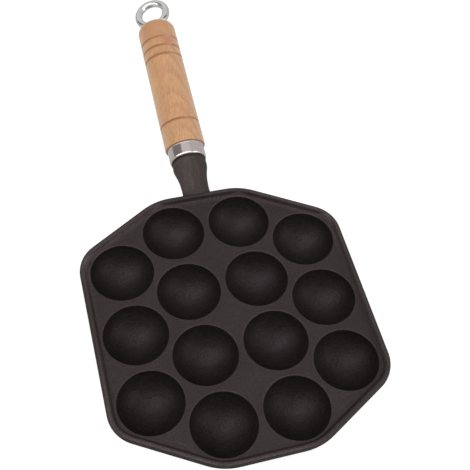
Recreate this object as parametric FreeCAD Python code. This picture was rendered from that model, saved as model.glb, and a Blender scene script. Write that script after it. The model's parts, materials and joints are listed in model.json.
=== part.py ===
import FreeCAD, Part
import math
import os

Vector = FreeCAD.Vector

# A cast-iron pan for cooking small round dumplings: a plate with fourteen bowls,
# a raised rim and a short arm, and a turned wooden grip screwed to the arm by a
# rod that ends in a hanging eye. Millimetres. The pan stands on the flats under
# its bowls at z = 0, the grip points to +Y, tilted up, and the origin is below the
# middle of the whole length. The functions below work from the middle of the bowl
# field, and main() moves each piece to its place about the origin.
field_middle_y = -79.8

# Bowls
cup_radius = 20.0
cup_depth = 19.0
cup_wall = 3.0
cup_floor = 2.5
cup_edge_round = 0.4
row_pitch = 44.6
inner_column_x = 22.1
column_step = 38.1
inner_column_cups = 4
outer_column_cups = 3

# Plate and rim
plate_thickness = 3.4
cup_to_rim = 1.8
rim_height = 3.0
rim_foot_width = 4.3
rim_inner_draft = 1.5
rim_outer_draft = 0.15
edge_draft = 0.8
rim_outer_round = 1.2
rim_inner_round = 1.2
rim_foot_round = 0.6
edge_round = 1.0
side_corner_radius = 22.0
end_corner_radius = 37.0
parting_ridge_out = 0.15
parting_ridge_height = 0.9

# Arm: the neck is flat at the rim and grows into a round socket
arm_start_out = 2.0
arm_axis_drop = 0.9
arm_tilt = 11.1
arm_length = 24.7
arm_end_radius = 12.5
arm_end_round = 0.5
neck_half_width = 9.2
neck_half_height = 4.3
neck_flare = 1.6
neck_tail = 9.0

# Handle rod and its hanging eye
rod_radius = 2.65
thread_radius = 2.5
thread_pitch = 0.8
thread_depth = 0.45
thread_run_out = 6.0
thread_engagement = 18.4
tapped_hole_tip_gap = 2.6
eye_radius = 10.4
eye_beyond_grip = 0.3
eye_twist = 18.9
eye_lean = 8.4

# Ferrule: a drawn cup that sheathes the tenon of the grip
ferrule_radius = 12.6
ferrule_wall = 0.8
ferrule_length = 9.4
ferrule_corner = 1.5
ferrule_lip_round = 0.35

# Grip
grip_length = 102.2
grip_start_radius = 13.95
grip_end_radius = 13.38
grip_start_round = 0.7
grip_end_round = 6.2
groove_width = 1.3
groove_depth = 0.45
front_groove_from_start = 17.1
back_groove_from_end = 17.3
back_groove_step = 7.3
back_grooves = 3

# Clearances
thread_clearance = 0.1
rod_in_ferrule_gap = 0.4
rod_in_grip_gap = 0.3
eye_seat_gap = 0.15
tenon_clearance = 0.08
face_gap = 0.3

# Levels of the pan
plate_top = cup_depth + cup_floor
plate_bottom = plate_top - plate_thickness
rim_top = plate_top + rim_height
edge_offset = cup_radius + cup_to_rim + rim_foot_width

# Stations along the handle axis, measured from its start
ferrule_start = arm_length + face_gap
ferrule_end = ferrule_start + ferrule_length
grip_start = ferrule_end + face_gap
grip_end = grip_start + grip_length
rod_tip = arm_length - thread_engagement


def cup_centres():
    outer_column_x = inner_column_x + column_step
    centres = []
    for x, count in ((inner_column_x, inner_column_cups), (outer_column_x, outer_column_cups)):
        for index in range(count):
            y = (index - (count - 1) / 2) * row_pitch
            centres.append((x, y))
            centres.append((-x, y))
    return centres


def field_corners():
    # the eight outermost cup centres, anticlockwise from the +X side
    side_x = inner_column_x + column_step
    side_y = (outer_column_cups - 1) / 2 * row_pitch
    end_x = inner_column_x
    end_y = (inner_column_cups - 1) / 2 * row_pitch
    quarter = [(side_x, side_y, side_corner_radius), (end_x, end_y, end_corner_radius)]
    mirrored = [(-x, y, radius) for x, y, radius in reversed(quarter)]
    upper = quarter + mirrored
    lower = [(-x, -y, radius) for x, y, radius in upper]
    return upper + lower


def outline(inset, z):
    # the pan's edge, drawn around the field of cups, with each corner rounded
    corners = field_corners()
    distance = edge_offset - inset
    sides = []
    for index, (x, y, radius) in enumerate(corners):
        before_x, before_y, before_radius = corners[index - 1]
        along = Vector(x - before_x, y - before_y, 0).normalize()
        outward = Vector(along.y, -along.x, 0)
        sides.append((Vector(x, y, 0) + outward * distance, along, outward))
    ends = []
    for index, (x, y, radius) in enumerate(corners):
        point, along, outward = sides[index]
        next_point, next_along, next_outward = sides[(index + 1) % len(sides)]
        half_turn = along.getAngle(next_along) / 2
        reach = (next_point - point).dot(next_outward) / along.dot(next_outward)
        sharp = point + along * reach
        round_radius = radius - inset
        tangent = round_radius * math.tan(half_turn)
        towards_middle = (outward + next_outward).normalize() * -1
        middle = sharp + towards_middle * round_radius * (1 / math.cos(half_turn) - 1)
        ends.append((sharp - along * tangent, middle, sharp + next_along * tangent))
    lift = Vector(0, 0, z)
    edges = []
    for index, (start, middle, end) in enumerate(ends):
        next_start = ends[(index + 1) % len(ends)][0]
        edges.append(Part.Arc(start + lift, middle + lift, end + lift).toShape())
        edges.append(Part.makeLine(end + lift, next_start + lift))
    return Part.Wire(edges)


def band(inset_low, z_low, inset_high, z_high):
    return Part.makeLoft([outline(inset_low, z_low), outline(inset_high, z_high)], True, True)


def edges_at(shape, z, inset, slack):
    # the edges at one level that run along the outline at one inset
    wall = outline(inset, z)
    found = []
    for edge in shape.Edges:
        box = edge.BoundBox
        if abs(box.ZMin - z) > 0.01 or abs(box.ZMax - z) > 0.01:
            continue
        middle = edge.valueAt((edge.FirstParameter + edge.LastParameter) / 2)
        if wall.distToShape(Part.Vertex(middle))[0] < slack:
            found.append(edge)
    return found


def tray_space():
    return band(rim_foot_width, plate_top, rim_foot_width - rim_inner_draft, rim_top)


def space_over_plate():
    rim_edge = rim_foot_width - rim_inner_draft
    return tray_space().fuse(band(rim_edge, rim_top, rim_edge, rim_top + arm_end_radius))


def plate_with_rim():
    upper = band(0, plate_top, rim_outer_draft, rim_top)
    lower = band(edge_draft, plate_bottom, 0, plate_top)
    body = upper.fuse(lower).removeSplitter().cut(tray_space())
    rounds = (
        (rim_top, rim_outer_draft, rim_outer_round),
        (rim_top, rim_foot_width - rim_inner_draft, rim_inner_round),
        (plate_top, rim_foot_width, rim_foot_round),
        (plate_bottom, edge_draft, edge_round),
    )
    for z, inset, radius in rounds:
        body = body.makeFillet(radius, edges_at(body, z, inset, 0.05))
    low = plate_top - parting_ridge_height / 2
    high = plate_top + parting_ridge_height / 2
    outer = band(-parting_ridge_out, low, -parting_ridge_out, high)
    inner = band(rim_outer_round, low, rim_outer_round, high)
    return body.fuse(outer.cut(inner))


def cup_sphere_centre_height():
    # the bowl is a cap of a sphere, a little less than half of it
    return plate_top + cup_sphere_radius() - cup_depth


def cup_sphere_radius():
    return (cup_radius ** 2 + cup_depth ** 2) / (2 * cup_depth)


def cup_shells():
    # outer domes under the plate, cut flat at the bottom to stand on
    dome_radius = cup_sphere_radius() + cup_wall
    height = cup_sphere_centre_height()
    slab_height = plate_top - plate_thickness / 2
    shells = []
    for x, y in cup_centres():
        dome = Part.makeSphere(dome_radius, Vector(x, y, height))
        slab = Part.makeCylinder(2 * dome_radius, slab_height, Vector(x, y, 0))
        shells.append(dome.common(slab))
    return shells


def cup_hollows():
    hollows = []
    for x, y in cup_centres():
        centre = Vector(x, y, cup_sphere_centre_height())
        hollows.append(Part.makeSphere(cup_sphere_radius(), centre))
    return hollows


def handle_placement():
    # local Z runs along the handle axis, from just outside the rim
    start_y = (inner_column_cups - 1) / 2 * row_pitch + edge_offset + arm_start_out
    start = Vector(0, start_y, plate_top - arm_axis_drop)
    return FreeCAD.Placement(start, FreeCAD.Rotation(Vector(1, 0, 0), arm_tilt - 90))


def oval(half_width, half_height, station):
    # a cross-section of the arm; the longer half comes first in the ellipse
    if half_width > half_height:
        major, minor, along = half_width, half_height, Vector(1, 0, 0)
    else:
        major, minor, along = half_height, half_width, Vector(0, 1, 0)
    centre = Vector(0, 0, station)
    across = Vector(0, 0, 1).cross(along)
    ellipse = Part.Ellipse(centre + along * major, centre + across * minor, centre)
    return Part.Wire([ellipse.toShape()])


def arm():
    width_growth = arm_end_radius - neck_half_width
    height_growth = arm_end_radius - neck_half_height
    sections = [
        oval(neck_half_width - neck_flare, neck_half_height / 2, -arm_start_out - neck_tail),
        oval(neck_half_width + neck_flare, neck_half_height * 0.95, -arm_start_out - 1),
        oval(neck_half_width + neck_flare / 8, neck_half_height, 0),
    ]
    # share of the arm's length, of the growth in width and of the growth in height
    shares = ((0.2, 0.04, 0.19), (0.4, 0.16, 0.4), (0.6, 0.47, 0.64), (0.8, 0.78, 0.84))
    for length_share, width_share, height_share in shares:
        half_width = neck_half_width + width_growth * width_share
        half_height = neck_half_height + height_growth * height_share
        sections.append(oval(half_width, half_height, arm_length * length_share))
    sections.append(oval(arm_end_radius + 0.001, arm_end_radius, arm_length))
    body = Part.makeLoft(sections, True, False)
    rim_edges = [edge for edge in body.Edges if abs(edge.BoundBox.ZMin - arm_length) < 0.01]
    body = body.makeFillet(arm_end_round, rim_edges)
    body.Placement = handle_placement()
    return body


def tapped_hole():
    depth = thread_engagement + tapped_hole_tip_gap
    hole = Part.makeCylinder(
        thread_radius + thread_clearance, depth + 1, Vector(0, 0, arm_length - depth)
    )
    hole.Placement = handle_placement()
    return hole


def pan_casting():
    body = plate_with_rim()
    body = body.fuse(cup_shells() + [arm().cut(space_over_plate())]).removeSplitter()
    body = body.cut(cup_hollows())
    mouth_edges = []
    for edge in body.Edges:
        box = edge.BoundBox
        level = abs(box.ZMin - plate_top) < 0.01 and abs(box.ZMax - plate_top) < 0.01
        if level and edge.Curve.TypeId == "Part::GeomCircle":
            if abs(edge.Curve.Radius - cup_radius) < 0.01:
                mouth_edges.append(edge)
    body = body.makeFillet(cup_edge_round, mouth_edges)
    return body.cut(tapped_hole())


def revolved(points):
    # turns a closed profile of (radius, station) points about the handle axis
    corners = [Vector(radius, 0, station) for radius, station in points]
    face = Part.Face(Part.makePolygon(corners + corners[:1]))
    return face.revolve(Vector(0, 0, 0), Vector(0, 0, 1), 360)


def circle_edges(shape, station, radius):
    found = []
    for edge in shape.Edges:
        if edge.Curve.TypeId != "Part::GeomCircle":
            continue
        if abs(edge.Curve.Center.z - station) < 0.01 and abs(edge.Curve.Radius - radius) < 0.01:
            found.append(edge)
    return found


def ferrule():
    hole_radius = rod_radius + rod_in_ferrule_gap
    inner_radius = ferrule_radius - ferrule_wall
    floor = ferrule_start + ferrule_wall
    shell = revolved([
        (hole_radius, ferrule_start),
        (ferrule_radius, ferrule_start),
        (ferrule_radius, ferrule_end),
        (inner_radius, ferrule_end),
        (inner_radius, floor),
        (hole_radius, floor),
    ])
    shell = shell.makeFillet(ferrule_corner, circle_edges(shell, ferrule_start, ferrule_radius))
    shell = shell.makeFillet(ferrule_lip_round, circle_edges(shell, ferrule_end, ferrule_radius))
    inner_corner = ferrule_corner - ferrule_wall
    shell = shell.makeFillet(inner_corner, circle_edges(shell, floor, inner_radius))
    shell.Placement = handle_placement()
    return shell


def grip_radius_at(station):
    share = (station - grip_start) / grip_length
    return grip_start_radius + (grip_end_radius - grip_start_radius) * share


def groove_stations():
    stations = [grip_start + front_groove_from_start]
    for index in range(back_grooves):
        stations.append(grip_end - back_groove_from_end - index * back_groove_step)
    return stations


def v_groove(station):
    half = groove_width / 2
    outside = grip_radius_at(station) + groove_depth
    slope = half / groove_depth
    return revolved([
        (outside - 2 * groove_depth, station),
        (outside, station - slope * 2 * groove_depth),
        (outside, station + slope * 2 * groove_depth),
    ])


def grip():
    tenon_radius = ferrule_radius - ferrule_wall - tenon_clearance
    tenon_start = ferrule_start + ferrule_wall + face_gap
    body = revolved([
        (0, tenon_start),
        (tenon_radius, tenon_start),
        (tenon_radius, grip_start),
        (grip_start_radius, grip_start),
        (grip_end_radius, grip_end),
        (0, grip_end),
    ])
    body = body.makeFillet(grip_end_round, circle_edges(body, grip_end, grip_end_radius))
    body = body.makeFillet(grip_start_round, circle_edges(body, grip_start, grip_start_radius))
    corner = ferrule_corner - ferrule_wall
    body = body.makeChamfer(corner, circle_edges(body, tenon_start, tenon_radius))
    bore_length = grip_end - tenon_start + 2
    bore = Part.makeCylinder(rod_radius + rod_in_grip_gap, bore_length, Vector(0, 0, tenon_start - 1))
    cuts = [v_groove(station) for station in groove_stations()]
    body = body.cut(cuts + [bore, eye_ring(rod_radius + eye_seat_gap)])
    body.Placement = handle_placement()
    return body


def eye_centre():
    lowest = grip_end + eye_beyond_grip
    return Vector(0, 0, lowest + eye_radius * math.cos(math.radians(eye_lean)))


def eye_ring(wire_radius):
    twist = math.radians(eye_twist)
    lean = math.radians(eye_lean)
    across = Vector(math.cos(twist), -math.sin(twist), 0)
    back = Vector(math.sin(twist), math.cos(twist), 0)
    up = Vector(0, 0, math.cos(lean)) + back * math.sin(lean)
    return Part.makeTorus(eye_radius, wire_radius, eye_centre(), across.cross(up))


def threaded_end():
    # rings at the thread's pitch, up to the plain stretch of the rod
    root = thread_radius - thread_depth
    rings = int((thread_engagement + thread_run_out) / thread_pitch)
    points = [(0, rod_tip), (root, rod_tip)]
    for index in range(rings):
        start = rod_tip + index * thread_pitch
        points.append((thread_radius, start + thread_pitch * 0.45))
        points.append((thread_radius, start + thread_pitch * 0.55))
        points.append((root, start + thread_pitch))
    end = rod_tip + rings * thread_pitch
    points.append((0, end))
    return revolved(points), end


def eye_rod():
    thread, shank_start = threaded_end()
    shank_length = grip_end + eye_beyond_grip - shank_start
    shank = Part.makeCylinder(rod_radius, shank_length, Vector(0, 0, shank_start))
    body = thread.fuse([shank, eye_ring(rod_radius)])
    body.Placement = handle_placement()
    return body


def main():
    os.makedirs("parts", exist_ok=True)
    parts = {
        "pan_casting": pan_casting,
        "ferrule": ferrule,
        "grip": grip,
        "eye_rod": eye_rod,
    }
    for name, build in parts.items():
        shape = build()
        shape.translate(Vector(0, field_middle_y, 0))
        shape.exportStep("parts/" + name + ".step")
        print(name, "solids", len(shape.Solids), "valid", shape.isValid(), "mm3", round(shape.Volume))


main()
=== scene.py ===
import json
import math

import bpy
from mathutils import Matrix, Vector


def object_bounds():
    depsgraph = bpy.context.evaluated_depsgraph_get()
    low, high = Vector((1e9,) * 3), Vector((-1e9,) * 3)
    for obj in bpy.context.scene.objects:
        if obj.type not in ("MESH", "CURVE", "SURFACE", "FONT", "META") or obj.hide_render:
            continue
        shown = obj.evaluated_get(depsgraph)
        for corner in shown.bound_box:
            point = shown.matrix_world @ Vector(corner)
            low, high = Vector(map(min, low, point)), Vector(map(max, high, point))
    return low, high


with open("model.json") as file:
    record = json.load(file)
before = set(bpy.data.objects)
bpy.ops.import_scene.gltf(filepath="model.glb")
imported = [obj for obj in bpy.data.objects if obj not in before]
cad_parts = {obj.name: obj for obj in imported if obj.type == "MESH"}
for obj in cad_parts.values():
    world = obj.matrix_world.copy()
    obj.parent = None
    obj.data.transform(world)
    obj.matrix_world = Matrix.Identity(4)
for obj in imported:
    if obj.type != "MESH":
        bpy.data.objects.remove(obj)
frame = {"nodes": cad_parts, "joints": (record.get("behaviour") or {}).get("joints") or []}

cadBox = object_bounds()
nodes = frame["nodes"]
print("frame loaded:", ", ".join(sorted(nodes)))

millimetres = 1000.0  # in a metre

# the grip turns about this joint's line, which is the middle line of the whole handle
handleJoint = next(joint for joint in frame["joints"] if joint["name"] == "handle_unscrew")
handleStart = tuple(handleJoint["pos_m"])
handleTilt = math.atan2(handleJoint["axis"][2], handleJoint["axis"][1])

# the bowls as the CAD has them, in millimetres
bowlShape = {
    "mouthRadius": 20.0,
    "depth": 19.0,
    "pitch": 44.6,
    "innerColumn": 22.1,
    "columnStep": 38.1,
}
ballRadius = (bowlShape["mouthRadius"] ** 2 + bowlShape["depth"] ** 2) / (2 * bowlShape["depth"])

# the tray as the CAD has it, in millimetres, and its slanting sides by their distance from the
# middle of the bowl field and by where they face, in degrees from +X
trayShape = {
    "middleY": -79.8,
    "topZ": 21.5,
    "rimHeight": 3.0,
    "partingRidge": 0.15,
    "slantReach": 95.0,
    "slantFacing": 59.66,
}
trayHalfWidth = cadBox[1][0] * millimetres - trayShape["partingRidge"]
trayHalfLength = trayShape["middleY"] - cadBox[0][1] * millimetres - trayShape["partingRidge"]


# small helpers for node trees; a range is a pair of numbers

def addNode(tree, kind, **values):
    node = tree.nodes.new(kind)
    for name, value in values.items():
        setattr(node, name, value)
    return node


def plug(tree, source, target):
    tree.links.new(source, target)


def mathNode(tree, operation, first, second=None, third=None, clamp=False):
    node = addNode(tree, "ShaderNodeMath", operation=operation, use_clamp=clamp)
    for socket, value in zip(node.inputs, (first, second, third)):
        if value is None:
            continue
        if isinstance(value, (int, float)):
            socket.default_value = value
        else:
            plug(tree, value, socket)
    return node.outputs[0]


def multiply(tree, first, second, clamp=False):
    return mathNode(tree, "MULTIPLY", first, second, clamp=clamp)


def mapRange(tree, value, fromRange, toRange=(0.0, 1.0), smooth=False):
    node = addNode(tree, "ShaderNodeMapRange")
    node.interpolation_type = "SMOOTHSTEP" if smooth else "LINEAR"
    plug(tree, value, node.inputs["Value"])
    for name, number in zip(("From Min", "From Max", "To Min", "To Max"), (*fromRange, *toRange)):
        node.inputs[name].default_value = number
    return node.outputs["Result"]


def bandMask(tree, value, band):
    # 0 up to the band's first number, 1 between the middle two, and 0 again from the last one on
    rising = mapRange(tree, value, band[:2], smooth=True)
    falling = mapRange(tree, value, band[2:], (1.0, 0.0), smooth=True)
    return multiply(tree, rising, falling)


def nearMask(tree, value, centre, fade, peak=1.0):
    # the peak close to the centre, fading out over the given range of distances
    offset = mathNode(tree, "ABSOLUTE", mathNode(tree, "SUBTRACT", value, centre))
    return mapRange(tree, offset, fade, (peak, 0.0), smooth=True)


def mixColour(tree, share, first, second, blend="MIX"):
    node = addNode(tree, "ShaderNodeMix", data_type="RGBA", blend_type=blend)
    for socket, value in ((node.inputs[0], share), (node.inputs[6], first), (node.inputs[7], second)):
        if isinstance(value, (int, float)):
            socket.default_value = value
        elif isinstance(value, tuple):
            socket.default_value = value if len(value) == 4 else (*value, 1.0)
        else:
            plug(tree, value, socket)
    return node.outputs[2]


def multiplyColour(tree, colour, tone, share=1.0):
    return mixColour(tree, share, colour, tone, blend="MULTIPLY")


def shadeColour(tree, colour, mask, tone):
    # multiplies the colour by the tone where the mask is 1
    return multiplyColour(tree, colour, mapRange(tree, mask, (0.0, 1.0), (1.0, tone)))


def noiseNode(tree, vector, scale=1.0, detail=2.0, roughness=0.5):
    node = addNode(tree, "ShaderNodeTexNoise")
    plug(tree, vector, node.inputs["Vector"])
    if isinstance(scale, (int, float)):
        node.inputs["Scale"].default_value = scale
    else:
        plug(tree, scale, node.inputs["Scale"])
    node.inputs["Detail"].default_value = detail
    node.inputs["Roughness"].default_value = roughness
    return node.outputs["Fac"]


def noiseTone(tree, noise, depth):
    # noise turned into a tone to multiply by, as far above 1 as below it
    usualNoise = (0.35, 0.65)
    return mapRange(tree, noise, usualNoise, (1.0 - depth, 1.0 + depth))


def mapped(tree, vector, scale, turn=(0.0, 0.0, 0.0), kind="POINT"):
    node = addNode(tree, "ShaderNodeMapping", vector_type=kind)
    node.inputs["Scale"].default_value = scale
    node.inputs["Rotation"].default_value = turn
    plug(tree, vector, node.inputs["Vector"])
    return node.outputs[0]


def splitVector(tree, vector):
    split = addNode(tree, "ShaderNodeSeparateXYZ")
    plug(tree, vector, split.inputs[0])
    return [split.outputs[axis] for axis in "XYZ"]


def splitMillimetres(tree, vector):
    return [multiply(tree, value, millimetres) for value in splitVector(tree, vector)]


def vectorLength(tree, vector):
    node = addNode(tree, "ShaderNodeVectorMath", operation="LENGTH")
    plug(tree, vector, node.inputs[0])
    return node.outputs["Value"]


def distanceTo(tree, vector, place):
    node = addNode(tree, "ShaderNodeVectorMath", operation="DISTANCE")
    node.inputs[1].default_value = place
    plug(tree, vector, node.inputs[0])
    return node.outputs["Value"]


def fromAxis(tree, x, y):
    flat = addNode(tree, "ShaderNodeCombineXYZ")
    plug(tree, x, flat.inputs["X"])
    plug(tree, y, flat.inputs["Y"])
    return vectorLength(tree, flat.outputs[0])


def newGroup(name, inputs, outputs):
    group = bpy.data.node_groups.new(name, "ShaderNodeTree")
    for label, kind, default in inputs:
        socket = group.interface.new_socket(name=label, in_out="INPUT", socket_type=kind)
        if default is not None:
            socket.default_value = default
    for label, kind in outputs:
        group.interface.new_socket(name=label, in_out="OUTPUT", socket_type=kind)
    return group, group.nodes.new("NodeGroupInput").outputs, group.nodes.new("NodeGroupOutput").inputs


def useGroup(tree, group, values):
    node = addNode(tree, "ShaderNodeGroup", node_tree=group)
    for name, value in values.items():
        socket = node.inputs[name]
        if isinstance(value, (int, float)):
            socket.default_value = value
        elif isinstance(value, tuple):
            socket.default_value = (*value, 1.0) if socket.type == "RGBA" else value
        else:
            plug(tree, value, socket)
    return node.outputs


# effects that several materials share

def makeHandleSpace():
    # object coordinates in metres turned into millimetres in the handle's own frame, Z along the handle
    group, inside, outside = newGroup(
        "handleSpace",
        [("Vector", "NodeSocketVector", None)],
        [("Vector", "NodeSocketVector"), ("Station", "NodeSocketFloat")],
    )
    shift = addNode(group, "ShaderNodeVectorMath", operation="SUBTRACT")
    shift.inputs[1].default_value = handleStart
    turn = addNode(group, "ShaderNodeVectorRotate", rotation_type="X_AXIS")
    turn.inputs["Angle"].default_value = math.pi / 2 - handleTilt
    scale = addNode(group, "ShaderNodeVectorMath", operation="SCALE")
    scale.inputs["Scale"].default_value = millimetres
    plug(group, inside["Vector"], shift.inputs[0])
    plug(group, shift.outputs[0], turn.inputs["Vector"])
    plug(group, turn.outputs[0], scale.inputs[0])
    plug(group, scale.outputs[0], outside["Vector"])
    plug(group, splitVector(group, scale.outputs[0])[2], outside["Station"])
    return group


def makeBowlSpace():
    # where a point lies, in millimetres from the middle of the ball that the nearest bowl is cut
    # from, and a mask for the inside of the bowls
    group, inside, outside = newGroup(
        "bowlSpace",
        [("Vector", "NodeSocketVector", None)],
        [("Vector", "NodeSocketVector"), ("Inside", "NodeSocketFloat")],
    )
    # the mask ends inside the iron of the wall, and just under the mouth
    wallFade = (ballRadius + 0.1, ballRadius + 0.9)
    mouthFade = (trayShape["topZ"] - 0.35, trayShape["topZ"] - 0.05)
    ballZ = trayShape["topZ"] - bowlShape["depth"] + ballRadius
    x, y, z = splitMillimetres(group, inside["Vector"])
    side = mathNode(group, "ABSOLUTE", x)
    fromMiddle = mathNode(group, "SUBTRACT", y, trayShape["middleY"])
    pitches = mathNode(group, "DIVIDE", fromMiddle, bowlShape["pitch"])
    # the nearest bowl of each column; the outer columns are half a pitch out of step
    outerColumn = bowlShape["innerColumn"] + bowlShape["columnStep"]
    places = []
    distances = []
    for column, halfStep in ((bowlShape["innerColumn"], 0.0), (outerColumn, 0.5)):
        turned = mathNode(group, "FRACT", mathNode(group, "ADD", pitches, halfStep))
        local = addNode(group, "ShaderNodeCombineXYZ")
        plug(group, mathNode(group, "SUBTRACT", side, column), local.inputs["X"])
        centred = mathNode(group, "SUBTRACT", turned, 0.5)
        plug(group, multiply(group, centred, bowlShape["pitch"]), local.inputs["Y"])
        plug(group, mathNode(group, "SUBTRACT", z, ballZ), local.inputs["Z"])
        places.append(local.outputs[0])
        distances.append(vectorLength(group, local.outputs[0]))
    choice = addNode(group, "ShaderNodeMix", data_type="VECTOR")
    plug(group, mathNode(group, "LESS_THAN", distances[1], distances[0]), choice.inputs[0])
    plug(group, places[0], choice.inputs[4])
    plug(group, places[1], choice.inputs[5])
    nearest = mathNode(group, "MINIMUM", distances[0], distances[1])
    wall = mapRange(group, nearest, wallFade, (1.0, 0.0))
    below = mapRange(group, z, mouthFade, (1.0, 0.0))
    plug(group, choice.outputs[1], outside["Vector"])
    plug(group, multiply(group, wall, below), outside["Inside"])
    return group


def makeTrayEdge():
    # how far in from the tray's outer edge a point lies, in millimetres
    group, inside, outside = newGroup(
        "trayEdge",
        [("Vector", "NodeSocketVector", None)],
        [("Depth", "NodeSocketFloat")],
    )
    x, y, _ = splitMillimetres(group, inside["Vector"])
    across = mathNode(group, "ABSOLUTE", x)
    along = mathNode(group, "ABSOLUTE", mathNode(group, "SUBTRACT", y, trayShape["middleY"]))
    facing = math.radians(trayShape["slantFacing"])
    sideways = multiply(group, across, math.cos(facing))
    slanting = mathNode(group, "MULTIPLY_ADD", along, math.sin(facing), sideways)
    depth = mathNode(group, "SUBTRACT", trayShape["slantReach"], slanting)
    for reach, distance in ((trayHalfWidth, across), (trayHalfLength, along)):
        depth = mathNode(group, "MINIMUM", depth, mathNode(group, "SUBTRACT", reach, distance))
    plug(group, depth, outside["Depth"])
    return group


def makeToneDrift():
    # slow drift of brightness and hue over a surface
    group, inside, outside = newGroup(
        "toneDrift",
        [
            ("Vector", "NodeSocketVector", None),
            ("Color", "NodeSocketColor", (0.5, 0.5, 0.5, 1.0)),
            ("Second Color", "NodeSocketColor", (0.5, 0.5, 0.5, 1.0)),
            ("Scale", "NodeSocketFloat", 10.0),
            ("Spread", "NodeSocketFloat", 0.5),
        ],
        [("Color", "NodeSocketColor")],
    )
    contrast = 2.6  # the noise keeps close to its middle value
    slow = noiseNode(group, inside["Vector"], inside["Scale"], detail=4.0, roughness=0.55)
    widened = multiply(group, mathNode(group, "SUBTRACT", slow, 0.5), contrast)
    share = mathNode(group, "MULTIPLY_ADD", widened, inside["Spread"], 0.5, clamp=True)
    plug(group, mixColour(group, share, inside["Color"], inside["Second Color"]), outside["Color"])
    return group


def makeFineGrain():
    # grains, pits and a slow unevenness, as a height in metres
    group, inside, outside = newGroup(
        "fineGrain",
        [
            ("Vector", "NodeSocketVector", None),
            ("Grain Scale", "NodeSocketFloat", 1000.0),
            ("Grain Depth", "NodeSocketFloat", 0.00001),
            ("Wave Scale", "NodeSocketFloat", 80.0),
            ("Wave Depth", "NodeSocketFloat", 0.00002),
            ("Pit Scale", "NodeSocketFloat", 300.0),
            ("Pit Depth", "NodeSocketFloat", 0.00003),
        ],
        [("Height", "NodeSocketFloat"), ("Mask", "NodeSocketFloat")],
    )
    pitEdge = (0.05, 0.3)  # as shares of a cell
    grain = noiseNode(group, inside["Vector"], inside["Grain Scale"], detail=3.0, roughness=0.6)
    wave = noiseNode(group, inside["Vector"], inside["Wave Scale"])
    cells = addNode(group, "ShaderNodeTexVoronoi", feature="F1")
    plug(group, inside["Vector"], cells.inputs["Vector"])
    plug(group, inside["Pit Scale"], cells.inputs["Scale"])
    pit = mapRange(group, cells.outputs["Distance"], pitEdge, (1.0, 0.0), smooth=True)
    waveHeight = multiply(group, wave, inside["Wave Depth"])
    raised = mathNode(group, "MULTIPLY_ADD", grain, inside["Grain Depth"], waveHeight)
    height = mathNode(group, "SUBTRACT", raised, multiply(group, pit, inside["Pit Depth"]))
    plug(group, height, outside["Height"])
    plug(group, grain, outside["Mask"])
    return group


def makeHandlingMarks():
    # smudges and hairline scratches, which change how sharply the surface shines
    group, inside, outside = newGroup(
        "handlingMarks",
        [
            ("Vector", "NodeSocketVector", None),
            ("Smudge Scale", "NodeSocketFloat", 60.0),
            ("Scratch Scale", "NodeSocketFloat", 900.0),
            ("Smooth", "NodeSocketFloat", 0.1),
            ("Rough", "NodeSocketFloat", 0.3),
        ],
        [("Roughness", "NodeSocketFloat")],
    )
    scratchStretch = (1.0, 0.06, 0.4)
    scratchTurn = (0.2, 0.1, 0.7)
    scratchNoise = (0.62, 0.72)
    scratchShare = 0.3
    smudge = noiseNode(group, inside["Vector"], inside["Smudge Scale"], detail=3.0, roughness=0.6)
    stretched = mapped(group, inside["Vector"], scratchStretch, scratchTurn)
    hairlines = noiseNode(group, stretched, inside["Scratch Scale"], detail=1.0)
    scratch = mapRange(group, hairlines, scratchNoise)
    mask = mathNode(group, "MULTIPLY_ADD", scratch, scratchShare, smudge, clamp=True)
    spread = mathNode(group, "SUBTRACT", inside["Rough"], inside["Smooth"])
    plug(group, mathNode(group, "MULTIPLY_ADD", mask, spread, inside["Smooth"]), outside["Roughness"])
    return group


def makeColourPatch():
    # a soft-edged patch of another colour, with its own place, size and turn
    group, inside, outside = newGroup(
        "colourPatch",
        [
            ("Vector", "NodeSocketVector", None),
            ("Place", "NodeSocketVector", (0.0, 0.0, 0.0)),
            ("Size", "NodeSocketVector", (1.0, 1.0, 1.0)),
            ("Turn", "NodeSocketVector", (0.0, 0.0, 0.0)),
            ("Color", "NodeSocketColor", (0.5, 0.5, 0.5, 1.0)),
            ("Patch Color", "NodeSocketColor", (0.5, 0.5, 0.5, 1.0)),
            ("Share", "NodeSocketFloat", 0.5),
        ],
        [("Color", "NodeSocketColor")],
    )
    softEdge = (0.1, 1.3)  # as shares of the size
    local = addNode(group, "ShaderNodeMapping", vector_type="TEXTURE")
    plug(group, inside["Vector"], local.inputs["Vector"])
    plug(group, inside["Place"], local.inputs["Location"])
    plug(group, inside["Turn"], local.inputs["Rotation"])
    plug(group, inside["Size"], local.inputs["Scale"])
    mask = mapRange(group, vectorLength(group, local.outputs[0]), softEdge, (1.0, 0.0), smooth=True)
    share = multiply(group, mask, inside["Share"])
    plug(group, mixColour(group, share, inside["Color"], inside["Patch Color"]), outside["Color"])
    return group


handleSpace = makeHandleSpace()
bowlSpace = makeBowlSpace()
trayEdge = makeTrayEdge()
toneDrift = makeToneDrift()
fineGrain = makeFineGrain()
handlingMarks = makeHandlingMarks()
colourPatch = makeColourPatch()
print("shared effects made")


def newMaterial(name):
    material = bpy.data.materials.new(name)
    material.use_nodes = True
    tree = material.node_tree
    shader = tree.nodes["Principled BSDF"]
    where = addNode(tree, "ShaderNodeTexCoord").outputs["Object"]
    return material, tree, shader, where


def addDrift(tree, vector, look):
    return useGroup(tree, toneDrift, {
        "Vector": vector,
        "Color": look["colour"],
        "Second Color": look["secondColour"],
        "Scale": look["driftScale"],
        "Spread": look["driftSpread"],
    })["Color"]


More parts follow.
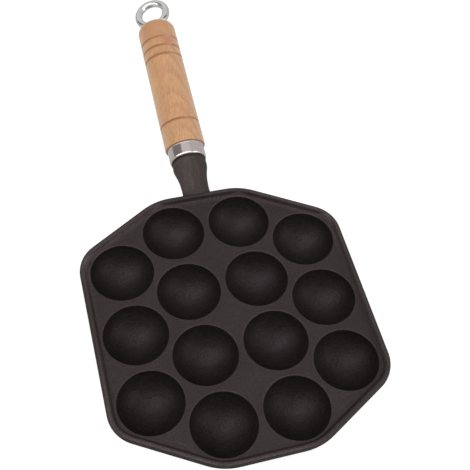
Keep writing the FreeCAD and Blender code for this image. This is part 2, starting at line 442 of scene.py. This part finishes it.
def addGrain(tree, vector, look):
    return useGroup(tree, fineGrain, {
        "Vector": vector,
        "Grain Scale": look["grainScale"],
        "Grain Depth": look["grainDepth"],
        "Wave Scale": look["waveScale"],
        "Wave Depth": look["waveDepth"],
        "Pit Scale": look["pitScale"],
        "Pit Depth": look["pitDepth"],
    })


def addMarks(tree, vector, look):
    return useGroup(tree, handlingMarks, {
        "Vector": vector,
        "Smudge Scale": look["smudgeScale"],
        "Scratch Scale": look["scratchScale"],
        "Smooth": look["smooth"],
        "Rough": look["rough"],
    })["Roughness"]


def addPatch(tree, vector, colour, patch):
    return useGroup(tree, colourPatch, {
        "Vector": vector,
        "Place": patch["place"],
        "Size": patch["size"],
        "Turn": (0.0, math.radians(patch.get("leanDegrees", 0.0)), 0.0),
        "Color": colour,
        "Patch Color": patch["colour"],
        "Share": patch["share"],
    })["Color"]


def addBump(tree, shader, height):
    bump = addNode(tree, "ShaderNodeBump")
    bump.inputs["Distance"].default_value = 1.0  # heights are in metres already
    plug(tree, height, bump.inputs["Height"])
    plug(tree, bump.outputs["Normal"], shader.inputs["Normal"])


# seasoned cast iron; the scales count grains in a metre, the depths are in metres, and all other
# lengths on the iron are in millimetres

ironLook = {
    "colour": (0.0182, 0.0136, 0.0142),
    "secondColour": (0.0256, 0.0188, 0.0192),
    # burnt oil in the bowls, and painted shade at the foot of the rim and along its crest
    "burntAndShadeColour": (0.0080, 0.0056, 0.0057),
    "driftScale": 38.0,
    "driftSpread": 0.8,
    "grainScale": 1150.0,
    "grainDepth": 0.00024,
    "waveScale": 110.0,
    "waveDepth": 0.00016,
    "pitScale": 420.0,
    "pitDepth": 0.00008,
    "speckleRange": (0.35, 0.70),
    "speckleTone": (0.62, 1.42),
    "speckleShare": (1.0, 0.45),  # on the tray and on the arm
    "smudgeScale": 70.0,
    "scratchScale": 700.0,
    "smooth": 0.46,
    "rough": 0.66,
    "specular": 0.25,
    "specularTint": (1.0, 0.88, 0.90, 1.0),
}

bowlLook = {
    "darkShare": 0.9,
    "polish": 0.86,
    "streakStretch": (240.0, 950.0, 950.0),
    "streakDepth": 0.40,
    "streakHeight": 0.00014,
    "scorchPlace": (0.0, 7.0, -18.5),
    "scorchFade": (2.25, 7.5),
    "scorchScale": 800.0,
    "scorchDepth": 0.80,
    "scorchHeight": 0.00024,
    # a painted highlight along the mouths of the bowls
    "mouthBand": (19.9, 20.2, 20.5, 21.4),
    "mouthSides": (-12.0, 14.0),
    "mouthShares": (0.15, 1.0),
    "mouthHighlightTone": 1.40,
}


def addBowlWear(tree, at, colour):
    # streaks across the walls, and specks where the batter has scorched on above the bottom
    look = bowlLook
    darkMask = multiply(tree, at["inBowl"], look["darkShare"])
    colour = mixColour(tree, darkMask, colour, ironLook["burntAndShadeColour"])
    streaks = noiseNode(tree, mapped(tree, at["where"], look["streakStretch"]))
    specks = noiseNode(tree, at["where"], look["scorchScale"], detail=1.0)
    streakTone = noiseTone(tree, streaks, look["streakDepth"])
    speckTone = noiseTone(tree, specks, look["scorchDepth"])
    away = distanceTo(tree, at["bowlPlace"], look["scorchPlace"])
    scorched = mapRange(tree, away, look["scorchFade"], (1.0, 0.0), smooth=True)
    tone = mixColour(tree, at["inBowl"], (1.0, 1.0, 1.0), mixColour(tree, scorched, streakTone, speckTone))
    speckHeight = multiply(tree, multiply(tree, specks, look["scorchHeight"]), scorched)
    height = mathNode(tree, "MULTIPLY_ADD", streaks, look["streakHeight"], speckHeight)
    return multiplyColour(tree, colour, tone), multiply(tree, height, at["inBowl"])


def addMouthHighlights(tree, at, colour):
    # a painted highlight along the mouths of the bowls, strongest at their back edge
    look = bowlLook
    x, y, _ = splitVector(tree, at["bowlPlace"])
    mouth = bandMask(tree, fromAxis(tree, x, y), look["mouthBand"])
    backward = mapRange(tree, y, look["mouthSides"], look["mouthShares"], smooth=True)
    paintedMouthHighlight = multiply(tree, multiply(tree, mouth, backward), at["onTop"])
    return shadeColour(tree, colour, paintedMouthHighlight, look["mouthHighlightTone"])


armLook = {
    "colour": (0.0475, 0.0355, 0.0332),
    "blend": (-1.0, 6.0),  # behind the rim
    "streakStretch": (260.0, 14.0, 60.0),
    "streakDepth": 0.30,
    "sides": (-9.0, 9.0),
    # painted light on the left side of the arm and painted shade on its right
    "sideLightAndShade": (1.12, 0.76),
    "endShadowFade": (22.8, 24.0),  # as stations on the handle's axis
    "endShadowTone": 0.04,
}


def addArm(tree, at, colour):
    # the arm has a greyer, paler colour than the tray
    look = armLook
    stretched = mapped(tree, at["where"], look["streakStretch"])
    streaks = noiseNode(tree, stretched, detail=3.0, roughness=0.55)
    tone = noiseTone(tree, streaks, look["streakDepth"])
    # painted light on the left of the arm, painted shade on its right
    sideLightAndShadeTone = mapRange(tree, at["x"], look["sides"], look["sideLightAndShade"], smooth=True)
    # painted shadow in the corner where the arm meets the ferrule
    station = useGroup(tree, handleSpace, {"Vector": at["where"]})["Station"]
    endShadowTone = mapRange(tree, station, look["endShadowFade"], (1.0, look["endShadowTone"]), smooth=True)
    tone = multiply(tree, tone, multiply(tree, sideLightAndShadeTone, endShadowTone))
    return mixColour(tree, at["onArm"], colour, multiplyColour(tree, look["colour"], tone))


rimLook = {
    "paleBand": (3.5, 4.3, 5.2, 7.8),
    "paleBandFromTo": (-110.0, -20.0),
    "paleBandTone": 1.75,
    # painted shade at the foot of the rim
    "footShadeDepths": (4.35, 3.6),  # at the front and at the back
    "footShadeFromTo": (-120.0, -10.0),
    "footShadeFade": (0.2, 1.0),
    "darkShare": 0.80,
    "faceHeights": (0.1, 0.9),
    # painted light on the face of the rim
    "paintedLightTone": 1.75,
    "crestHeight": 0.7,  # of the rounded top
    # a painted highlight on the crest of the rim
    "crestHighlightColour": (0.0950, 0.0690, 0.0650),
    "crestHighlightShare": 0.17,
    "crestHighlightFade": (1.4, 2.9),
    "crestHighlightInward": 0.30,
    "frontShift": 0.6,
    "frontFromTo": (-150.0, -100.0),
    # painted shade along the crest's outer edge
    "shadeLineDepth": 0.95,
    "shadeLineFade": (0.1, 0.85),
    "shadeLineShare": 0.55,
}

# stretches of the rim, by a point and a reach: where the foot loses its painted shade and its face gets
# painted light, and where the crest gets a painted highlight
paintedLightSpots = [
    {"place": (86.0, -80.0, 22.0), "reach": 85.0, "share": 0.80},
    {"place": (-56.0, -12.0, 22.0), "reach": 56.0, "share": 1.00},
    {"place": (45.0, -5.0, 22.0), "reach": 55.0, "share": 0.30},
    {"place": (-86.0, -80.0, 23.0), "reach": 75.0, "share": 0.45},
]
crestHighlightSpots = [
    {"place": (-40.0, -160.0, 24.0), "reach": 90.0, "share": 1.0},
    {"place": (50.0, -12.0, 24.0), "reach": 60.0, "share": 0.8},
]


def spotMask(tree, at, spot):
    away = distanceTo(tree, at["place"], spot["place"])
    return mapRange(tree, away, (spot["reach"] / 2, spot["reach"]), (spot["share"], 0.0), smooth=True)


def addPaleBand(tree, at, colour):
    # the tray is paler in a band near the rim, towards the back
    look = rimLook
    backward = mapRange(tree, at["y"], look["paleBandFromTo"], smooth=True)
    paleBandMask = multiply(tree, bandMask(tree, at["depth"], look["paleBand"]), backward)
    return shadeColour(tree, colour, multiply(tree, paleBandMask, at["onTop"]), look["paleBandTone"])


def addRimFoot(tree, at, colour):
    # painted shade in the corner at the foot of the rim, and higher up its face at the back; the painted
    # light spots take it away and lighten the face
    look = rimLook
    footShadeDepth = mapRange(tree, at["y"], look["footShadeFromTo"], look["footShadeDepths"], smooth=True)
    darkMask = nearMask(tree, at["depth"], footShadeDepth, look["footShadeFade"], look["darkShare"])
    onFace = mapRange(tree, at["height"], look["faceHeights"], smooth=True)
    for spot in paintedLightSpots:
        lightSpot = spotMask(tree, at, spot)
        darkMask = multiply(tree, darkMask, mathNode(tree, "SUBTRACT", 1.0, lightSpot))
        paintedFaceLight = multiply(tree, multiply(tree, onFace, lightSpot), at["offArm"])
        colour = shadeColour(tree, colour, paintedFaceLight, look["paintedLightTone"])
    return mixColour(tree, multiply(tree, darkMask, at["onTop"]), colour, ironLook["burntAndShadeColour"])


def addRimCrest(tree, at, colour, grainMask):
    # a painted highlight on the crest, nearer its outer side at the front
    look = rimLook
    top = trayShape["rimHeight"]
    onCrest = mapRange(tree, at["height"], (top - look["crestHeight"], top), smooth=True)
    crestHighlightStrength = look["crestHighlightShare"]
    for spot in crestHighlightSpots:
        crestHighlightStrength = mathNode(tree, "ADD", crestHighlightStrength, spotMask(tree, at, spot))
    shift = mapRange(tree, at["y"], look["frontFromTo"], (look["frontShift"], 0.0), smooth=True)
    crestDepth = mathNode(tree, "ADD", at["depth"], shift)
    inward = mapRange(tree, crestDepth, look["crestHighlightFade"], (1.0, look["crestHighlightInward"]), smooth=True)
    grainyCrestHighlight = multiply(tree, grainMask, multiply(tree, crestHighlightStrength, inward))
    paintedCrestHighlight = multiply(tree, multiply(tree, onCrest, at["offArm"]), grainyCrestHighlight, clamp=True)
    colour = mixColour(tree, paintedCrestHighlight, colour, look["crestHighlightColour"])
    # a line of painted shade runs along its outer edge
    line = nearMask(tree, crestDepth, look["shadeLineDepth"], look["shadeLineFade"], look["shadeLineShare"])
    return mixColour(tree, multiply(tree, line, at["onTop"]), colour, ironLook["burntAndShadeColour"])


def placeOnPan(tree, where):
    # the masks and measures that the iron's marks are placed by
    topFade = (-0.2, -0.1)  # just under the top of the tray
    x, y, z = splitMillimetres(tree, where)
    place = addNode(tree, "ShaderNodeVectorMath", operation="SCALE")
    place.inputs["Scale"].default_value = millimetres
    plug(tree, where, place.inputs[0])
    bowl = useGroup(tree, bowlSpace, {"Vector": where})
    rimBack = trayShape["middleY"] + trayHalfLength
    onArm = mapRange(tree, y, [rimBack + length for length in armLook["blend"]], smooth=True)
    offArm = mathNode(tree, "SUBTRACT", 1.0, onArm)
    height = mathNode(tree, "SUBTRACT", z, trayShape["topZ"])
    topSide = mapRange(tree, height, topFade)
    return {
        "where": where,
        "place": place.outputs[0],
        "x": x,
        "y": y,
        "height": height,
        "depth": useGroup(tree, trayEdge, {"Vector": where})["Depth"],
        "bowlPlace": bowl["Vector"],
        "inBowl": bowl["Inside"],
        "onArm": onArm,
        "offArm": offArm,
        "onTop": multiply(tree, topSide, offArm),
    }


def makeIron():
    look = ironLook
    material, tree, shader, where = newMaterial("seasonedIron")
    at = placeOnPan(tree, where)
    grain = addGrain(tree, where, look)
    colour, wearHeight = addBowlWear(tree, at, addDrift(tree, where, look))
    colour = addArm(tree, at, colour)
    colour = addMouthHighlights(tree, at, colour)
    colour = addPaleBand(tree, at, colour)
    colour = addRimFoot(tree, at, colour)
    colour = addRimCrest(tree, at, colour, grain["Mask"])
    # the tops of the grains are paler than the hollows
    speckle = mapRange(tree, grain["Mask"], look["speckleRange"], look["speckleTone"])
    speckleShare = mapRange(tree, at["onArm"], (0.0, 1.0), look["speckleShare"])
    plug(tree, multiplyColour(tree, colour, speckle, speckleShare), shader.inputs["Base Color"])
    # oil and turning picks have polished the bowls a little
    polished = mapRange(tree, at["inBowl"], (0.0, 1.0), (1.0, bowlLook["polish"]))
    plug(tree, multiply(tree, addMarks(tree, where, look), polished), shader.inputs["Roughness"])
    shader.inputs["Specular IOR Level"].default_value = look["specular"]
    shader.inputs["Specular Tint"].default_value = look["specularTint"]
    addBump(tree, shader, mathNode(tree, "ADD", grain["Height"], wearHeight))
    return material


# turned beech, lacquered; lengths are in millimetres in the handle's own frame, and heights in metres

woodLook = {
    "colour": (0.550, 0.300, 0.149),
    "secondColour": (0.530, 0.266, 0.118),
    "driftScale": 0.06,
    "driftSpread": 0.8,
    "ringColour": (0.365, 0.170, 0.075),
    "ringSpacing": 3.07,
    "ringOffset": -0.43,
    "ringGrowth": (0.25, 0.95),  # as shares of a ring
    "ringSides": (-8.0, 1.0),
    "ringShares": (0.12, 0.48),
    "pithPlace": (3.9, 31.5),
    "pithLean": (0.0, -0.2),
    "wanderStretch": (0.10, 0.10, 0.035),
    "wander": 4.0,
    "fleckColour": (0.335, 0.150, 0.064),
    "fleckSize": (0.55, 0.55, 3.2),
    "fleckLean": 0.22,
    "fleckRange": (0.58, 0.70),
    "fleckSides": (-10.0, 9.0),
    "fleckShares": (0.90, 0.50),
    "fleckHeight": -0.000012,
    "fibreSize": (0.26, 0.26, 5.5),
    "fibreLean": 0.10,
    "fibreRange": (0.3, 0.7),
    "fibreTone": (0.74, 1.24),
    "fibreHeight": 0.00003,
    "grooveColour": (0.260, 0.075, 0.008),
    "grooveStations": (51.8, 105.0, 112.3, 119.6),
    "grooveFade": (0.15, 1.6),
    "grooveShare": 0.9,
    # painted shade on the end face next to the ferrule
    "shoulderShadeColour": (0.200, 0.080, 0.030),
    "shoulderFade": (34.85, 35.3),
    "shoulderShare": 0.9,
    "shoulderEdge": (13.45, 13.95),
    "smudgeScale": 0.07,
    "scratchScale": 1.2,
    "smooth": 0.34,
    "rough": 0.50,
    "coat": 0.20,
    "coatRoughness": 0.22,
    "sheen": 0.70,
    "sheenTint": (1.0, 0.86, 0.68, 1.0),
}

# coloured patches in the wood: place, half-size, colour and strength
woodStains = [
    {"place": (4.6, -12.8, 116.0), "size": (6.5, 5.0, 4.0), "colour": (0.43, 0.165, 0.085), "share": 0.9},
    {"place": (7.6, -11.2, 111.8), "size": (2.2, 2.2, 1.2), "colour": (0.20, 0.075, 0.032), "share": 0.9},
    {"place": (-11.2, -7.8, 85.0), "size": (3.5, 5.0, 5.5), "colour": (0.640, 0.310, 0.115), "share": 0.7},
    {"place": (-5.4, -12.5, 94.0), "size": (1.0, 2.5, 7.0), "colour": (0.560, 0.235, 0.125), "share": 0.7},
    {"place": (1.0, -13.5, 129.0), "size": (3.5, 4.0, 2.5), "colour": (0.520, 0.225, 0.145), "share": 0.6},
    {"place": (1.5, -13.5, 56.5), "size": (5.0, 4.0, 3.0), "colour": (0.500, 0.235, 0.135), "share": 0.55},
    {"place": (-1.0, -10.0, 134.0), "size": (16, 12, 18), "colour": (0.458, 0.204, 0.088), "share": 0.85},
]


def growthRings(tree, place):
    # distance from a leaning pith, wandering slowly along the grain; each ring darkens outwards
    look = woodLook
    x, y, station = splitVector(tree, place)
    squares = []
    for value, offset, lean in zip((x, y), look["pithPlace"], look["pithLean"]):
        distance = mathNode(tree, "SUBTRACT", value, mathNode(tree, "MULTIPLY_ADD", station, lean, offset))
        squares.append(multiply(tree, distance, distance))
    radius = mathNode(tree, "SQRT", mathNode(tree, "ADD", *squares))
    slow = noiseNode(tree, mapped(tree, place, look["wanderStretch"]), detail=3.0)
    bent = mathNode(tree, "MULTIPLY_ADD", mathNode(tree, "SUBTRACT", slow, 0.5), look["wander"], radius)
    shifted = mathNode(tree, "ADD", bent, look["ringOffset"])
    phase = mathNode(tree, "FRACT", mathNode(tree, "DIVIDE", shifted, look["ringSpacing"]))
    early = mapRange(tree, phase, look["ringGrowth"], smooth=True)
    late = mapRange(tree, phase, (look["ringGrowth"][1], 1.0))
    line = mathNode(tree, "SUBTRACT", early, late, clamp=True)
    return multiply(tree, line, mapRange(tree, x, look["ringSides"], look["ringShares"]))


def alongGrain(tree, place, size, lean):
    # coordinates for noise that is drawn out along the wood and leans a little
    return mapped(tree, place, size, (0.0, lean, 0.0), "TEXTURE")


def addWoodGrain(tree, place, colour):
    # short flecks, most of them where the saw went straight through the rings, and fine fibres
    look = woodLook
    flecks = noiseNode(tree, alongGrain(tree, place, look["fleckSize"], look["fleckLean"]))
    fleck = mapRange(tree, flecks, look["fleckRange"], smooth=True)
    x = splitVector(tree, place)[0]
    fleckShare = multiply(tree, fleck, mapRange(tree, x, look["fleckSides"], look["fleckShares"]))
    colour = mixColour(tree, fleckShare, colour, look["fleckColour"])
    threads = alongGrain(tree, place, look["fibreSize"], look["fibreLean"])
    fibres = noiseNode(tree, threads, detail=3.0, roughness=0.6)
    colour = multiplyColour(tree, colour, mapRange(tree, fibres, look["fibreRange"], look["fibreTone"]))
    fleckHeight = multiply(tree, fleck, look["fleckHeight"])
    return colour, mathNode(tree, "MULTIPLY_ADD", fibres, look["fibreHeight"], fleckHeight)


def addGrooves(tree, station, colour):
    # lacquer and dust lie darker in the turned grooves
    look = woodLook
    darkened = 0.0
    for groove in look["grooveStations"]:
        near = nearMask(tree, station, groove, look["grooveFade"], look["grooveShare"])
        darkened = mathNode(tree, "MAXIMUM", darkened, near)
    return mixColour(tree, darkened, colour, look["grooveColour"])


def addShoulderShade(tree, place, colour):
    # painted shade on the end face of the wood next to the ferrule
    look = woodLook
    x, y, station = splitVector(tree, place)
    atFace = mapRange(tree, station, look["shoulderFade"], (look["shoulderShare"], 0.0))
    inner = mapRange(tree, fromAxis(tree, x, y), look["shoulderEdge"], (1.0, 0.0))
    return mixColour(tree, multiply(tree, atFace, inner), colour, look["shoulderShadeColour"])


def makeWood():
    look = woodLook
    material, tree, shader, where = newMaterial("turnedBeech")
    handle = useGroup(tree, handleSpace, {"Vector": where})
    place = handle["Vector"]
    colour = addDrift(tree, place, look)
    colour = mixColour(tree, growthRings(tree, place), colour, look["ringColour"])
    colour, height = addWoodGrain(tree, place, colour)
    colour = addGrooves(tree, handle["Station"], colour)
    for stain in woodStains:
        colour = addPatch(tree, place, colour, stain)
    plug(tree, addShoulderShade(tree, place, colour), shader.inputs["Base Color"])
    plug(tree, addMarks(tree, place, look), shader.inputs["Roughness"])
    shader.inputs["Coat Weight"].default_value = look["coat"]
    shader.inputs["Coat Roughness"].default_value = look["coatRoughness"]
    shader.inputs["Sheen Weight"].default_value = look["sheen"]
    shader.inputs["Sheen Tint"].default_value = look["sheenTint"]
    addBump(tree, shader, height)
    return material


# bright plated steel; lengths are in millimetres in the handle's own frame, and depths in metres

platingSurface = {
    "driftScale": 0.25,
    "driftSpread": 0.5,
    "grainScale": 1.5,
    "grainDepth": 0.0000015,
    "waveScale": 0.18,
    "pitScale": 0.8,
    "pitDepth": 0.0000008,
    "smudgeScale": 0.3,
    "scratchScale": 2.4,
    "smooth": 0.08,
    "rough": 0.20,
    "lipRough": 0.42,
}

ferruleLook = {
    "colour": (0.650, 0.587, 0.572),
    "secondColour": (0.580, 0.505, 0.500),
    "waveDepth": 0.00006,
    # the upper lip's pale colour is a painted highlight, and the lower lip's darker colour is painted shade
    "lips": [
        {"station": 24.9, "fade": (0.665, 0.95), "colour": (0.600, 0.540, 0.525)},
        {"station": 34.5, "fade": (0.665, 0.95), "colour": (0.960, 0.900, 0.880)},
    ],
    "seamShades": [],
}

# the seam is where the bent wire closes the eye; its near-black colour is painted shade in the gap
rodLook = {
    "colour": (0.71, 0.725, 0.705),
    "secondColour": (0.62, 0.63, 0.61),
    "waveDepth": 0.00003,
    "lips": [],
    "seamShades": [
        {
            "place": (7.7, -6.0, 140.2),
            "size": (2.8, 1.5, 0.60),
            "leanDegrees": -42.8,
            "colour": (0.03, 0.03, 0.03),
            "share": 1.0,
        },
    ],
}


def makePlating(name, pieceLook):
    look = {**platingSurface, **pieceLook}
    material, tree, shader, where = newMaterial(name)
    handle = useGroup(tree, handleSpace, {"Vector": where})
    place = handle["Vector"]
    colour = addDrift(tree, place, look)
    # the seams are painted shade
    for seam in look["seamShades"]:
        colour = addPatch(tree, place, colour, seam)
    # the lips are scuffed dull; the upper lip is painted pale as a highlight, and the lower lip painted
    # darker as shade
    rough = addMarks(tree, place, look)
    for lip in look["lips"]:
        near = nearMask(tree, handle["Station"], lip["station"], lip["fade"])
        rough = mathNode(tree, "MAXIMUM", rough, multiply(tree, near, look["lipRough"]))
        colour = mixColour(tree, near, colour, lip["colour"])
    plug(tree, colour, shader.inputs["Base Color"])
    plug(tree, rough, shader.inputs["Roughness"])
    shader.inputs["Metallic"].default_value = 1.0
    addBump(tree, shader, addGrain(tree, place, look)["Height"])
    return material


def dress(nodeName, material):
    shape = nodes[nodeName]
    shape.data.materials.clear()
    shape.data.materials.append(material)
    print(nodeName, "dressed in", material.name)


dress("pan_casting", makeIron())
dress("grip", makeWood())
dress("ferrule", makePlating("ferrulePlating", ferruleLook))
dress("eye_rod", makePlating("rodPlating", rodLook))


# floor, light and camera, in metres

stageLook = {
    "floorSize": 12.0,
    "floorDrop": 0.0002,
    "floorRoughness": 0.9,
    "seenColour": (0.30, 0.30, 0.30),
    "bounceColour": (0.80, 0.80, 0.80),
    "floorGlow": (0.84, 0.895),  # near and far
    "floorGlowFromTo": (0.5, 1.8),
    "floorGlowInMirrors": 0.36,
    "worldStrength": 0.36,
    "worldInMirrors": 0.80,
}

black = (0.0, 0.0, 0.0, 1.0)
white = (1.0, 1.0, 1.0, 1.0)


def seenDirectly(tree):
    # two masks: what the camera sees, straight or through a clear piece, and what a shiny surface shows
    rays = addNode(tree, "ShaderNodeLightPath")
    seen = mathNode(tree, "MAXIMUM", rays.outputs["Is Camera Ray"], rays.outputs["Is Transmission Ray"])
    mirrored = mathNode(tree, "SUBTRACT", rays.outputs["Is Glossy Ray"], seen, clamp=True)
    return seen, mirrored


def addStagePiece(name, corners, faces, material):
    mesh = bpy.data.meshes.new(name)
    mesh.from_pydata(corners, [], faces)
    mesh.materials.append(material)
    piece = bpy.data.objects.new(name, mesh)
    bpy.context.collection.objects.link(piece)
    return piece


def makeFloor():
    look = stageLook
    material, tree, shader, where = newMaterial("palePaper")
    seen, mirrored = seenDirectly(tree)
    plain = mathNode(tree, "MAXIMUM", seen, mirrored)
    plug(tree, mixColour(tree, plain, look["bounceColour"], look["seenColour"]), shader.inputs["Base Color"])
    shader.inputs["Roughness"].default_value = look["floorRoughness"]
    shader.inputs["Specular IOR Level"].default_value = 0.0
    shader.inputs["Emission Color"].default_value = white
    # the lamps reach less of the floor far out, and there it glows more to stay as white
    away = vectorLength(tree, where)
    direct = mapRange(tree, away, look["floorGlowFromTo"], look["floorGlow"], smooth=True)
    glow = multiply(tree, mirrored, look["floorGlowInMirrors"])
    plug(tree, mathNode(tree, "MULTIPLY_ADD", seen, direct, glow), shader.inputs["Emission Strength"])
    half = look["floorSize"] / 2
    corners = [(x * half, y * half, -look["floorDrop"]) for x, y in ((-1, -1), (1, -1), (1, 1), (-1, 1))]
    floor = addStagePiece("floor", corners, [(0, 1, 2, 3)], material)


def makeWorld():
    world = bpy.data.worlds.new("softWhite")
    bpy.context.scene.world = world
    world.use_nodes = True
    tree = world.node_tree
    background = tree.nodes["Background"]
    background.inputs["Color"].default_value = white
    seen, mirrored = seenDirectly(tree)
    strengths = (stageLook["worldStrength"], stageLook["worldInMirrors"])
    strength = mapRange(tree, mirrored, (0.0, 1.0), strengths)
    plug(tree, mathNode(tree, "MAXIMUM", strength, seen), background.inputs["Strength"])


# cards stand round the table, aimed at the handle, and only mirror-like surfaces pick them up;
# bearings and heights are in degrees, from +Y towards +X and up from the table
cardCentre = (0.0, 0.09, 0.03)
studioCards = [
    {"name": "darkCard", "bearing": -65, "halfWidth": 13, "heights": (0, 56), "distance": 1.6, "glow": 0.25},
    {"name": "blackCard", "bearing": -75, "halfWidth": 3, "heights": (0, 56), "distance": 1.55, "glow": 0.03},
    {"name": "greyCard", "bearing": 80, "halfWidth": 44, "heights": (-2, 66), "distance": 1.7, "glow": 0.66},
    {"name": "skirtCard", "bearing": 0, "halfWidth": 179, "heights": (-1, 12), "distance": 2.6, "glow": 0.45},
]


def makeCard(name, bearing, halfWidth, heights, distance, glow):
    # a piece of a cylinder wall round the handle
    steps = 36
    corners = []
    for index in range(steps + 1):
        angle = math.radians(bearing + halfWidth * (2 * index / steps - 1))
        x = cardCentre[0] + distance * math.sin(angle)
        y = cardCentre[1] + distance * math.cos(angle)
        for height in heights:
            corners.append((x, y, cardCentre[2] + distance * math.tan(math.radians(height))))
    faces = [(2 * index, 2 * index + 2, 2 * index + 3, 2 * index + 1) for index in range(steps)]
    material, _, shader, _ = newMaterial(name + "Paper")
    shader.inputs["Base Color"].default_value = black
    shader.inputs["Specular IOR Level"].default_value = 0.0
    shader.inputs["Emission Color"].default_value = white
    shader.inputs["Emission Strength"].default_value = glow
    card = addStagePiece(name, corners, faces, material)
    card.visible_camera = False
    card.visible_diffuse = False
    card.visible_shadow = False


softboxes = [
    {
        "name": "keyBox",
        "place": (-0.70, -0.36, 1.34),
        "target": (0.0, -0.06, 0.02),
        "size": (3.2, 0.42),
        "power": 23.8,
    },
    {
        "name": "fillBox",
        "place": (1.95, -1.33, 1.16),
        "target": (0.0, -0.02, 0.02),
        "size": (1.25, 1.1),
        "power": 28.0,
    },
]


def addSoftbox(name, place, target, size, power):
    light = bpy.data.lights.new(name, "AREA")
    light.shape = "RECTANGLE"
    light.size, light.size_y = size
    light.energy = power
    lamp = bpy.data.objects.new(name, light)
    lamp.location = place
    # the box looks at the target, and its first side runs as nearly along X as it can
    back = (Vector(place) - Vector(target)).normalized()
    upward = back.cross(Vector((1.0, 0.0, 0.0))).normalized()
    lamp.rotation_euler = Matrix((upward.cross(back), upward, back)).transposed().to_euler()
    bpy.context.collection.objects.link(lamp)


cameraLook = {
    "place": (-0.09060, -0.30685, 0.48675),
    "turnDegrees": (32.9110, -3.8857, -14.7666),
    "lens": 64.722,
    "sensor": 36.0,
}


def makeCamera():
    data = bpy.data.cameras.new("camera")
    data.lens = cameraLook["lens"]
    data.sensor_width = cameraLook["sensor"]
    camera = bpy.data.objects.new("camera", data)
    camera.location = cameraLook["place"]
    camera.rotation_euler = [math.radians(angle) for angle in cameraLook["turnDegrees"]]
    bpy.context.collection.objects.link(camera)
    bpy.context.scene.camera = camera


makeFloor()
makeWorld()
for card in studioCards:
    makeCard(**card)
for box in softboxes:
    addSoftbox(**box)
makeCamera()
bpy.context.scene.view_settings.view_transform = "Standard"
print("stage, light and camera made")
